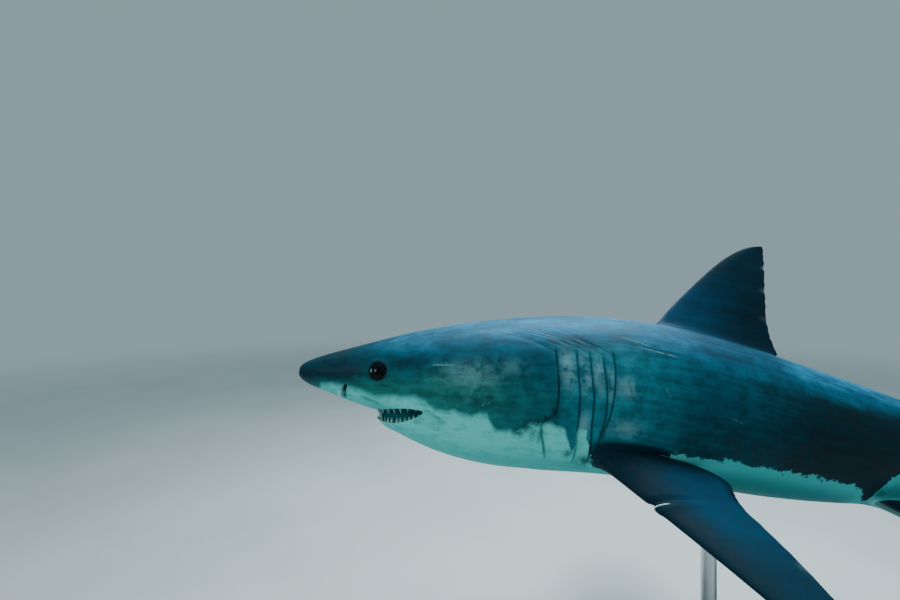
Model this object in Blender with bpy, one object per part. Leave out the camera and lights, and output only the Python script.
"""A life-size great white shark on a plain display stand, as separate solids for each part of the body.

The shark is drawn straight, on an axis that runs from the snout to the tail, and is then bent along its
spine into a swimming pose. Straight coordinates are in body lengths: x aft from the snout tip, y to the
animal's right, z up from the axis. Row coordinates are in metres, +Z up, with the head towards -X and
the origin in the middle of the stand's underside.
"""

import math

import bmesh
import bpy
import numpy as np

# ---------------------------------------------------------------- driving dimensions
TOTAL_LENGTH = 3.20  # snout tip to the tip of the tail's upper lobe
GAP = 0.0003  # between solids that touch
COLUMNS = 28  # points round the body
BODY_END = 0.887  # where the tail stalk closes in the fork of the tail fin

# Body outline: x, top z, bottom z, half width, height of the widest point, squareness of the section
STATIONS = np.array([
    (0.0000, 0.0000, 0.0000, 0.0000, 0.0000, 2.00),
    (0.0030, 0.0065, -0.0062, 0.0078, 0.0000, 2.00),
    (0.0120, 0.0118, -0.0120, 0.0146, 0.0000, 2.00),
    (0.0280, 0.0178, -0.0182, 0.0220, -0.0005, 2.00),
    (0.0500, 0.0246, -0.0266, 0.0300, -0.0010, 2.05),
    (0.0750, 0.0322, -0.0356, 0.0384, -0.0020, 2.10),
    (0.0840, 0.0349, -0.0468, 0.0412, -0.0025, 2.10),
    (0.1000, 0.0396, -0.0568, 0.0458, -0.0040, 2.10),
    (0.1300, 0.0466, -0.0704, 0.0536, -0.0060, 2.10),
    (0.1750, 0.0552, -0.0824, 0.0625, -0.0080, 2.10),
    (0.2300, 0.0620, -0.0882, 0.0690, -0.0100, 2.10),
    (0.2900, 0.0660, -0.0895, 0.0715, -0.0110, 2.10),
    (0.3600, 0.0672, -0.0888, 0.0718, -0.0110, 2.10),
    (0.4200, 0.0652, -0.0848, 0.0695, -0.0100, 2.10),
    (0.4800, 0.0602, -0.0790, 0.0640, -0.0080, 2.10),
    (0.5500, 0.0520, -0.0672, 0.0545, -0.0050, 2.10),
    (0.6200, 0.0426, -0.0508, 0.0436, -0.0020, 2.10),
    (0.7000, 0.0308, -0.0342, 0.0318, 0.0000, 2.00),
    (0.7600, 0.0224, -0.0222, 0.0258, 0.0000, 1.60),
    (0.8000, 0.0172, -0.0160, 0.0242, 0.0000, 1.35),
    (0.8320, 0.0146, -0.0132, 0.0236, 0.0000, 1.25),
    (0.8560, 0.0160, -0.0146, 0.0160, 0.0000, 1.40),
    (0.8760, 0.0154, -0.0144, 0.0070, 0.0000, 1.70),
    (0.8870, 0.0130, -0.0124, 0.0022, 0.0000, 2.00),
])

# Swimming pose, in degrees. A bend builds up smoothly between its two stations; positive turns
# the tail to the animal's right, or down.
YAW, PITCH, ROLL = 8.5, 3.0, 14.0
SIDE_BENDS = [(0.10, 0.32, -5.1), (0.30, 0.55, -5.7), (0.50, 0.85, 15.0), (0.78, 0.98, -14.0)]
DOWN_BENDS = [(0.20, 0.45, 13.0), (0.45, 0.75, -2.1)]

# Where the body is parted, in body lengths
HEAD_END, GILLS_END, TRUNK_MID, TRUNK_END = 0.215, 0.293, 0.475, 0.690

# Mouth, in body lengths: the upper lip is level, and the lower lip is this line of x and z
GAPE_Z, MOUTH_CORNER, JAW_HINGE = -0.0342, 0.1170, 0.160
LOWER_LIP = [(0.1115, -0.0378), (0.1050, -0.0415), (0.0970, -0.0450), (0.0900, -0.0464), (0.0820, -0.0458),
             (0.0400, -0.0400)]
UPPER_TEETH, LOWER_TEETH = 9, 8  # on each side
TOOTH_HEIGHT, TOOTH_WIDTH, TOOTH_DEPTH = 0.022, 0.017, 0.006  # metres

# Eye, in body lengths, and its ball in metres
EYE_X, EYE_Z = 0.0752, -0.0003
EYE_RADIUS, EYE_PROUD = 0.030, 0.012

# Paired fins: where they leave the body's side, and how far each hangs below the animal's own level
PECTORAL_X, PECTORAL_FLANK = 0.2745, math.radians(-50)
PELVIC_X, PELVIC_FLANK = 0.548, math.radians(-60)
PECTORAL_DROOP = {"left": math.radians(40), "right": math.radians(14)}
PELVIC_DROOP = {"left": math.radians(34), "right": math.radians(16)}
CHORD_POINTS = 9

# Fin outlines, each from inside the body to the tip: span in body lengths, then pairs of the share of
# the span and the x of the front edge, the x of the rear edge and the half thickness
PECTORAL = {
    "span": 0.178,
    "front": [(-0.22, -0.012), (0.0, 0.000), (0.137, 0.0162), (0.274, 0.0347), (0.411, 0.0545),
              (0.548, 0.0768), (0.685, 0.1000), (0.843, 0.1300), (0.955, 0.1545), (1.0, 0.1680)],
    "rear": [(-0.22, 0.060), (0.0, 0.066), (0.03, 0.090), (0.07, 0.108), (0.12, 0.118), (0.16, 0.1215),
             (0.274, 0.1305), (0.411, 0.1386), (0.548, 0.1480), (0.685, 0.1570), (0.843, 0.1665),
             (1.0, 0.1725)],
    "thick": [(-0.22, 0.0160), (0.0, 0.0120), (0.2, 0.0066), (0.6, 0.0036), (1.0, 0.0012)],
}
FIRST_DORSAL = {
    "span": 0.126,
    "front": [(-0.20, -0.018), (0.0, -0.003), (0.16, 0.0075), (0.295, 0.0186), (0.434, 0.0302),
              (0.588, 0.0430), (0.750, 0.0575), (0.861, 0.0700), (0.941, 0.0818), (0.985, 0.0925),
              (1.0, 0.1000)],
    "rear": [(-0.20, 0.102), (0.0, 0.107), (0.02, 0.1235), (0.05, 0.1245), (0.09, 0.1212), (0.145, 0.1180),
             (0.241, 0.1132), (0.416, 0.1099), (0.645, 0.1074), (0.863, 0.1049), (1.0, 0.1025)],
    "thick": [(-0.20, 0.0125), (0.0, 0.0098), (0.2, 0.0062), (0.6, 0.0036), (1.0, 0.0014)],
}
SMALL_FIN = {
    "span": 0.0175,
    "front": [(-0.6, -0.003), (0.0, 0.000), (0.5, 0.008), (0.85, 0.0145), (1.0, 0.0185)],
    "rear": [(-0.6, 0.017), (0.0, 0.0180), (0.15, 0.0330), (0.28, 0.0390), (0.5, 0.0270), (0.8, 0.0205),
             (1.0, 0.0205)],
    "thick": [(-0.6, 0.0032), (0.0, 0.0026), (0.5, 0.0015), (1.0, 0.0007)],
}
PELVIC = {
    "span": 0.047,
    "front": [(-0.35, -0.003), (0.0, 0.000), (0.5, 0.022), (0.85, 0.0385), (1.0, 0.0465)],
    "rear": [(-0.35, 0.041), (0.0, 0.0430), (0.12, 0.0690), (0.24, 0.0765), (0.45, 0.0640), (0.8, 0.0540),
             (1.0, 0.0500)],
    "thick": [(-0.35, 0.0060), (0.0, 0.0050), (0.5, 0.0026), (1.0, 0.0009)],
}
UPPER_LOBE = {
    "span": 0.143,
    "front": [(-0.07, -0.006), (0.0, 0.000), (0.10, 0.0135), (0.30, 0.0440), (0.50, 0.0780), (0.70, 0.1125),
              (0.85, 0.1410), (1.0, 0.1680)],
    "rear": [(-0.07, 0.050), (0.0, 0.0520), (0.10, 0.0660), (0.20, 0.0830), (0.40, 0.1150), (0.60, 0.1410),
             (0.78, 0.1580), (0.85, 0.1650), (1.0, 0.1725)],
    "thick": [(-0.07, 0.0100), (0.0, 0.0080), (0.15, 0.0050), (0.6, 0.0026), (1.0, 0.0010)],
}
LOWER_LOBE = {
    "span": 0.122,
    "front": [(-0.08, -0.006), (0.0, 0.000), (0.20, 0.0210), (0.50, 0.0540), (0.80, 0.0890), (1.0, 0.1130)],
    "rear": [(-0.08, 0.048), (0.0, 0.0500), (0.15, 0.0660), (0.40, 0.0890), (0.70, 0.1090), (1.0, 0.1175)],
    "thick": [(-0.08, 0.0100), (0.0, 0.0080), (0.15, 0.0050), (0.6, 0.0026), (1.0, 0.0010)],
}

# Stand, in metres
STAND_X = 0.470  # body length fraction above the middle of the base
BASE_SIZE, BASE_CORNER, BASE_EDGE = (1.60, 0.60, 0.050), 0.10, 0.006
ROD_STATIONS, ROD_RADIUS = {"front": 0.425, "rear": 0.640}, 0.022
FLANGE_RADIUS, FLANGE_HEIGHT = 0.075, 0.012
BELLY_HEIGHT = 0.640  # of the belly's underside above the floor at STAND_X


# ---------------------------------------------------------------- curves
def smooth_curve(knots, values, x):
    """A smooth curve through the knots: cubic pieces whose slopes are taken from their neighbours."""
    knots, values, x = (np.asarray(v, float) for v in (knots, values, x))
    steps = np.diff(knots)
    rise = np.diff(values) / steps
    slope = np.concatenate([
        rise[:1],
        (rise[:-1] * steps[1:] + rise[1:] * steps[:-1]) / (steps[:-1] + steps[1:]),
        rise[-1:],
    ])
    i = np.clip(np.searchsorted(knots, x) - 1, 0, len(knots) - 2)
    h = steps[i]
    t = np.clip((x - knots[i]) / h, 0, 1)
    return (
        (2 * t**3 - 3 * t**2 + 1) * values[i]
        + (t**3 - 2 * t**2 + t) * h * slope[i]
        + (3 * t**2 - 2 * t**3) * values[i + 1]
        + (t**3 - t**2) * h * slope[i + 1]
    )


def station(x, column):
    """One column of the body outline at x. Near the blunt snout it is drawn over the square root of x."""
    return smooth_curve(np.sqrt(STATIONS[:, 0]), STATIONS[:, column], np.sqrt(np.maximum(x, 0)))


def build_spine(samples=801):
    """The bent axis: for each x, its point in metres and the body's right and up directions."""
    x = np.linspace(0, 1.05, samples)

    def total(bends):
        angle = np.zeros(samples)
        for start, end, degrees in bends:
            t = np.clip((x - start) / (end - start), 0, 1)
            angle += math.radians(degrees) * t * t * (3 - 2 * t)
        return angle

    side, down = total(SIDE_BENDS), total(DOWN_BENDS)
    aft = np.stack([np.cos(side) * np.cos(down), np.sin(side) * np.cos(down), -np.sin(down)], 1)
    points = np.zeros((samples, 3))
    points[1:] = np.cumsum((aft[1:] + aft[:-1]) / 2, axis=0) * TOTAL_LENGTH * x[1]
    right = np.cross([0, 0, 1], aft)
    right /= np.linalg.norm(right, axis=1)[:, None]
    up = np.cross(aft, right)
    yaw, pitch, roll = (math.radians(a) for a in (YAW, PITCH, ROLL))
    bank = np.array([
        [1, 0, 0],
        [0, math.cos(roll), math.sin(roll)],
        [0, -math.sin(roll), math.cos(roll)],
    ])
    tilt = np.array([
        [math.cos(pitch), 0, math.sin(pitch)],
        [0, 1, 0],
        [-math.sin(pitch), 0, math.cos(pitch)],
    ])
    turn = np.array([
        [math.cos(yaw), -math.sin(yaw), 0],
        [math.sin(yaw), math.cos(yaw), 0],
        [0, 0, 1],
    ])
    pose = turn @ tilt @ bank
    return x, points @ pose.T, right @ pose.T, up @ pose.T


SPINE = build_spine()


def bend(points):
    """Straight coordinates, in body lengths, to row coordinates, in metres."""
    points = np.asarray(points, float)
    x, axis, right, up = SPINE

    def at(field):
        return np.stack([np.interp(points[..., 0], x, field[:, k]) for k in range(3)], -1)

    side = TOTAL_LENGTH * points[..., 1:2]
    height = TOTAL_LENGTH * points[..., 2:3]
    return at(axis) + side * at(right) + height * at(up) + ORIGIN


ORIGIN = np.zeros(3)
belly_over_base = bend([STAND_X, 0, float(station(STAND_X, 2))])
ORIGIN = np.array([0, 0, BELLY_HEIGHT]) - belly_over_base


def section(x, angles, grow=0.0):
    """Points round the body at x, in straight coordinates. Angle 0 is the right side and 90 the back."""
    top, bottom, half, middle, square = (float(station(x, c)) for c in range(1, 6))
    cos, sin = np.cos(angles), np.sin(angles)
    y = (half + grow) * np.sign(cos) * np.abs(cos) ** (2 / square)
    reach = np.where(sin >= 0, top - middle + grow, middle - bottom + grow)
    z = middle + reach * np.sign(sin) * np.abs(sin) ** (2 / square)
    return np.stack([np.full_like(y, x), y, z], -1)


# ---------------------------------------------------------------- meshes
def new_object(name, points, faces, material):
    mesh = bpy.data.meshes.new(name)
    mesh.from_pydata([tuple(p) for p in points], [], faces)
    body = bmesh.new()
    body.from_mesh(mesh)
    bmesh.ops.recalc_face_normals(body, faces=body.faces)
    body.to_mesh(mesh)
    body.free()
    made = bpy.data.objects.new(name, mesh)
    bpy.context.scene.collection.objects.link(made)
    made.data.materials.append(material)
    mesh.shade_smooth()
    mesh.set_sharp_from_angle(angle=math.radians(40))
    return made


def tube(rings):
    """Points and faces of a closed tube through rings of equal count, each end closed by a fan."""
    count = len(rings[0])
    points = [p for ring in rings for p in ring]
    faces = []
    for i in range(len(rings) - 1):
        for j in range(count):
            a, b = i * count + j, i * count + (j + 1) % count
            faces += [(a, b, b + count), (a, b + count, a + count)]
    for first, ring in ((0, rings[0]), ((len(rings) - 1) * count, rings[-1])):
        points.append(np.mean(ring, axis=0))
        hub = len(points) - 1
        faces += [(first + j, first + (j + 1) % count, hub) for j in range(count)]
    return points, faces


def as_cutter(made):
    made.hide_render = True
    made.display_type = "WIRE"
    return made


def combine(target, other, operation):
    """Applies a Boolean to target's mesh and removes the other object."""
    modifier = target.modifiers.new(operation.lower(), "BOOLEAN")
    modifier.operation = operation
    modifier.object = other
    graph = bpy.context.evaluated_depsgraph_get()
    result = bpy.data.meshes.new_from_object(target.evaluated_get(graph), depsgraph=graph)
    target.modifiers.clear()
    target.data = result
    bpy.data.objects.remove(other)


def side_prism(name, outline, material):
    """A block over the whole width of the head, from its outline in x and z, in straight coordinates."""
    reach = 0.12
    points = [bend([x, side * reach, z]) for side in (-1, 1) for x, z in outline]
    n = len(outline)
    faces = [tuple(range(n)), tuple(range(2 * n - 1, n - 1, -1))]
    faces += [(i, (i + 1) % n, n + (i + 1) % n, n + i) for i in range(n)]
    return as_cutter(new_object(name, points, faces, material))


HEAD_STATIONS = np.linspace(0.02, math.sqrt(HEAD_END), 26) ** 2  # closer together near the snout
LENGTHS = {
    "gill_region": np.linspace(HEAD_END + GAP / TOTAL_LENGTH, GILLS_END, 6),
    "trunk_front": np.linspace(GILLS_END + GAP / TOTAL_LENGTH, TRUNK_MID, 11),
    "trunk_rear": np.linspace(TRUNK_MID + GAP / TOTAL_LENGTH, TRUNK_END, 11),
    "tail_stalk": np.linspace(TRUNK_END + GAP / TOTAL_LENGTH, BODY_END, 15),
}


def body_length(name, stations, material, grow=0.0):
    angles = np.arange(COLUMNS) * 2 * math.pi / COLUMNS
    rings = [bend(section(x, angles, grow)) for x in stations]
    return new_object(name, *tube(rings), material)


def cut_to_body(made, material):
    """Cuts away what lies inside the body, with a gap, and drops any sliver that leaves."""
    whole = np.concatenate([HEAD_STATIONS, *LENGTHS.values()])
    combine(made, as_cutter(body_length("shell", whole, material, GAP / TOTAL_LENGTH)), "DIFFERENCE")
    keep_largest(made)


# ---------------------------------------------------------------- fins
def foil(share):
    """Half thickness of a streamlined section along its chord, as a share of its greatest."""
    return 5 * (0.2969 * np.sqrt(share) - 0.126 * share - 0.3516 * share**2 + 0.2843 * share**3
                - 0.0836 * share**4) / 0.5


def fin_rings(fin, origin, aft, outward, levels):
    """Rings of a fin from inside the body to its tip. aft and outward are unit directions of its plane."""
    aft, outward = (np.asarray(v, float) / np.linalg.norm(v) for v in (aft, outward))
    across = np.cross(aft, outward)
    across /= np.linalg.norm(across)
    chord = (1 - np.cos(np.linspace(0, math.pi, CHORD_POINTS))) / 2
    heights = fin["front"][0][0] + (1 - fin["front"][0][0]) * np.linspace(0, 1, levels) ** 0.9
    rings = []
    for height in heights:
        front, rear, thick = (
            float(smooth_curve(*np.array(fin[key]).T, height)) for key in ("front", "rear", "thick")
        )
        spine = [origin + aft * (front + c * (rear - front)) + outward * height * fin["span"] for c in chord]
        half = [thick * max(float(foil(c)), 0.06) for c in chord]
        side_a = [p + across * h for p, h in zip(spine, half)]
        side_b = [p - across * h for p, h in zip(spine, half)]
        rings.append(bend(side_a + side_b[::-1]))
    return rings


def make_fin(name, fin, origin, aft, outward, levels, skin):
    """A fin that starts inside the body, cut back to the body's surface."""
    made = new_object(name, *tube(fin_rings(fin, np.array(origin), aft, outward, levels)), skin)
    cut_to_body(made, skin)


def keep_largest(made):
    """Drops the slivers that a cut leaves behind."""
    body = bmesh.new()
    body.from_mesh(made.data)
    left, islands = set(body.verts), []
    while left:
        stack, island = [left.pop()], []
        while stack:
            vert = stack.pop()
            island.append(vert)
            for edge in vert.link_edges:
                other = edge.other_vert(vert)
                if other in left:
                    left.remove(other)
                    stack.append(other)
        islands.append(island)
    islands.sort(key=len)
    for island in islands[:-1]:
        bmesh.ops.delete(body, geom=island, context="VERTS")
    body.to_mesh(made.data)
    body.free()


def on_back(x):
    return np.array([x, 0, float(station(x, 1))])


def on_belly(x):
    return np.array([x, 0, float(station(x, 2))])


def make_fins(skin):
    """The paired fins, the two back fins, the anal fin and the two lobes of the tail fin."""
    for side, sign in (("left", -1), ("right", 1)):
        root = section(PECTORAL_X, np.array([PECTORAL_FLANK]))[0] * [1, sign, 1]
        outward = (0, sign * math.cos(PECTORAL_DROOP[side]), -math.sin(PECTORAL_DROOP[side]))
        make_fin(f"pectoral_fin_{side}", PECTORAL, root, (1, 0, 0.10), outward, 13, skin)
        root = section(PELVIC_X, np.array([PELVIC_FLANK]))[0] * [1, sign, 1]
        outward = (0, sign * math.cos(PELVIC_DROOP[side]), -math.sin(PELVIC_DROOP[side]))
        make_fin(f"pelvic_fin_{side}", PELVIC, root, (1, 0, 0.14), outward, 7, skin)
    start = on_back(0.362)
    make_fin("dorsal_fin_first", FIRST_DORSAL, start, on_back(0.469) - start, (0, 0, 1), 11, skin)
    start = on_back(0.742)
    make_fin("dorsal_fin_second", SMALL_FIN, start, on_back(0.760) - start, (0, 0, 1), 6, skin)
    start = on_belly(0.768)
    make_fin("anal_fin", SMALL_FIN, start, on_belly(0.786) - start, (0, 0, -1), 6, skin)
    make_fin("tail_fin_upper", UPPER_LOBE, on_back(0.832), (1, 0, 0), (0, 0, 1), 12, skin)
    make_fin("tail_fin_lower", LOWER_LOBE, on_belly(0.836), (1, 0, 0), (0, 0, -1), 11, skin)


# ---------------------------------------------------------------- head and body
def half_width(x, z):
    """How far the body's side is from its middle at a station and a height below the widest line."""
    bottom, half, middle, square = (float(station(x, c)) for c in range(2, 6))
    drop = np.clip((middle - z) / (middle - bottom), 0, 1)
    return half * (1 - drop**square) ** (1 / square)


def upper_lip(x):
    return GAPE_Z


def lower_lip(x):
    """Height of the lower lip, which meets the upper one at the corner of the mouth."""
    xs, zs = np.array(LOWER_LIP[::-1] + [(MOUTH_CORNER, GAPE_Z)]).T
    return float(np.interp(x, xs, zs))


def tooth_places(lip, count, inset, up):
    """Where the teeth stand on one side of a jaw: evenly along its lip from the chin, rooted inside it."""
    xs = np.linspace(0.060, MOUTH_CORNER - 0.002, 400)
    rim = np.array([(x, half_width(x, lip(x) - max(0, up) * 0.004) - inset, lip(x)) for x in xs])
    rim = rim[rim[:, 1] > 0]
    run = np.concatenate([[0], np.cumsum(np.linalg.norm(np.diff(rim, axis=0), axis=1))])
    at = (np.arange(count) + 0.5) / count * run[-1]
    places = np.stack([np.interp(at, run, rim[:, k]) for k in range(3)], -1)
    ahead = np.stack([np.interp(at + 0.001, run, rim[:, k]) for k in range(3)], -1)
    along = (ahead - places) * [1, 1, 0]
    return places, along / np.linalg.norm(along, axis=1)[:, None]


def add_teeth(jaw, lip, count, inset, up, material):
    """Joins a row of flat triangular teeth to a jaw, on both sides, smaller towards the corners."""
    places, along = tooth_places(lip, count, inset, up)
    for side in (-1, 1):
        for i, (place, line) in enumerate(zip(places, along)):
            shrink = 1 - 0.5 * (i / count)
            gap = GAPE_Z - lower_lip(place[0])
            height = min(TOOTH_HEIGHT / TOTAL_LENGTH * shrink, 0.5 * gap + 0.001)
            wide = line * TOOTH_WIDTH / TOTAL_LENGTH * shrink / 2
            deep = np.array([-line[1], line[0], 0]) * TOOTH_DEPTH / TOTAL_LENGTH / 2
            root = place - [0, 0, up * 0.003]
            tip = place + [0, 0, up * height]
            corners = [root - wide, root + deep, root + wide, root - deep, tip]
            points = [bend(p * [1, side, 1]) for p in corners]
            faces = [(0, 1, 2, 3), (0, 1, 4), (1, 2, 4), (2, 3, 4), (3, 0, 4)]
            combine(jaw, new_object("tooth", points, faces, material), "UNION")


def make_head(skin, pale):
    """The head with its upper teeth, and the lower jaw with the lower teeth."""
    head = body_length("head", HEAD_STATIONS, skin)
    jaw = body_length("lower_jaw", HEAD_STATIONS, pale)
    gap, below = GAP / TOTAL_LENGTH, -0.2
    head_cut = [(JAW_HINGE, GAPE_Z), (0.04, GAPE_Z), (0.04, below), (JAW_HINGE, below)]
    back = JAW_HINGE - gap
    jaw_keep = [(back, GAPE_Z - gap), (MOUTH_CORNER, GAPE_Z - gap), *LOWER_LIP, (0.04, below), (back, below)]
    combine(head, side_prism("mouth_cut", head_cut, skin), "DIFFERENCE")
    combine(jaw, side_prism("jaw_keep", jaw_keep, skin), "INTERSECT")
    keep_largest(head)
    keep_largest(jaw)
    add_teeth(head, upper_lip, UPPER_TEETH, 0.0030, -1, skin)
    add_teeth(jaw, lower_lip, LOWER_TEETH, 0.0030, 1, pale)
    return head


def ball(name, centre, radius, material):
    """A round ball of quads and end fans, small enough for a solid."""
    tilt = np.linspace(0.15, math.pi - 0.15, 8)
    turn = np.arange(16) * 2 * math.pi / 16
    rings = [
        [centre + radius * np.array([math.sin(a) * math.cos(b), math.cos(a), math.sin(a) * math.sin(b)])
         for b in turn]
        for a in tilt
    ]
    return new_object(name, *tube(rings), material)


def make_eyes(head, eye):
    """An eyeball on each side, in a socket cut into the head."""
    middle, top = float(station(EYE_X, 4)), float(station(EYE_X, 1))
    lift = math.asin(((EYE_Z - middle) / (top - middle)) ** (float(station(EYE_X, 5)) / 2))
    for side, sign in (("left", -1), ("right", 1)):
        surface = bend(section(EYE_X, np.array([lift]))[0] * [1, sign, 1])
        inside = bend([EYE_X, 0, EYE_Z])
        outward = (surface - inside) / np.linalg.norm(surface - inside)
        centre = surface - outward * (EYE_RADIUS - EYE_PROUD)
        combine(head, as_cutter(ball("socket", centre, EYE_RADIUS + 2 * GAP, eye)), "DIFFERENCE")
        ball(f"eye_{side}", centre, EYE_RADIUS, eye)


def make_body(skin, pale, eye):
    head = make_head(skin, pale)
    make_eyes(head, eye)
    for name, stations in LENGTHS.items():
        body_length(name, stations, skin)


# ---------------------------------------------------------------- stand
def make_base(paint):
    """A flat plate with round corners, its top edge slightly bevelled."""
    length, width, height = BASE_SIZE
    body = bmesh.new()
    bmesh.ops.create_cube(body, size=1.0)
    bmesh.ops.scale(body, vec=(length, width, height), verts=body.verts)
    bmesh.ops.translate(body, vec=(0, 0, height / 2), verts=body.verts)
    corners = [e for e in body.edges if abs(e.verts[0].co.z - e.verts[1].co.z) > height / 2]
    bmesh.ops.bevel(body, geom=corners, offset=BASE_CORNER, segments=8, affect="EDGES", profile=0.5)
    rim = [e for e in body.edges if min(v.co.z for v in e.verts) > height * 0.99 and len(e.link_faces) == 2
           and abs(e.link_faces[0].normal.z - e.link_faces[1].normal.z) > 0.5]
    bmesh.ops.bevel(body, geom=rim, offset=BASE_EDGE, segments=2, affect="EDGES", profile=0.5)
    mesh = bpy.data.meshes.new("stand_base")
    body.to_mesh(mesh)
    body.free()
    made = bpy.data.objects.new("stand_base", mesh)
    bpy.context.scene.collection.objects.link(made)
    made.data.materials.append(paint)


def make_rods(steel, skin):
    """Two upright rods with a round flange, each cut to the belly above it."""
    floor = BASE_SIZE[2] + GAP
    turn = np.arange(28) * 2 * math.pi / 28
    circle = np.stack([np.cos(turn), np.sin(turn), np.zeros(28)], -1)
    for name, x in ROD_STATIONS.items():
        foot = bend(on_belly(x))
        levels = [
            (FLANGE_RADIUS, floor),
            (FLANGE_RADIUS, floor + FLANGE_HEIGHT),
            (ROD_RADIUS, floor + FLANGE_HEIGHT + 0.004),
            (ROD_RADIUS, foot[2] + 0.06),
        ]
        rings = [circle * r + [foot[0], foot[1], z] for r, z in levels]
        rod = new_object(f"stand_rod_{name}", *tube(rings), steel)
        cut_to_body(rod, skin)


def finish(name, colour, roughness, metallic=0.0):
    material = bpy.data.materials.new(name)
    material.use_nodes = True
    shader = material.node_tree.nodes["Principled BSDF"]
    shader.inputs["Base Color"].default_value = (*colour, 1.0)
    shader.inputs["Roughness"].default_value = roughness
    shader.inputs["Metallic"].default_value = metallic
    return material


def main():
    for old in list(bpy.data.objects):
        bpy.data.objects.remove(old)
    skin = finish("shark_skin", (0.045, 0.085, 0.105), 0.45)
    pale = finish("pale_skin", (0.62, 0.66, 0.62), 0.45)
    eye = finish("eye", (0.006, 0.007, 0.009), 0.08)
    paint = finish("stand_paint", (0.16, 0.17, 0.18), 0.55)
    steel = finish("stand_steel", (0.55, 0.56, 0.57), 0.30, 1.0)
    make_body(skin, pale, eye)
    make_fins(skin)
    make_base(paint)
    make_rods(steel, skin)


main()
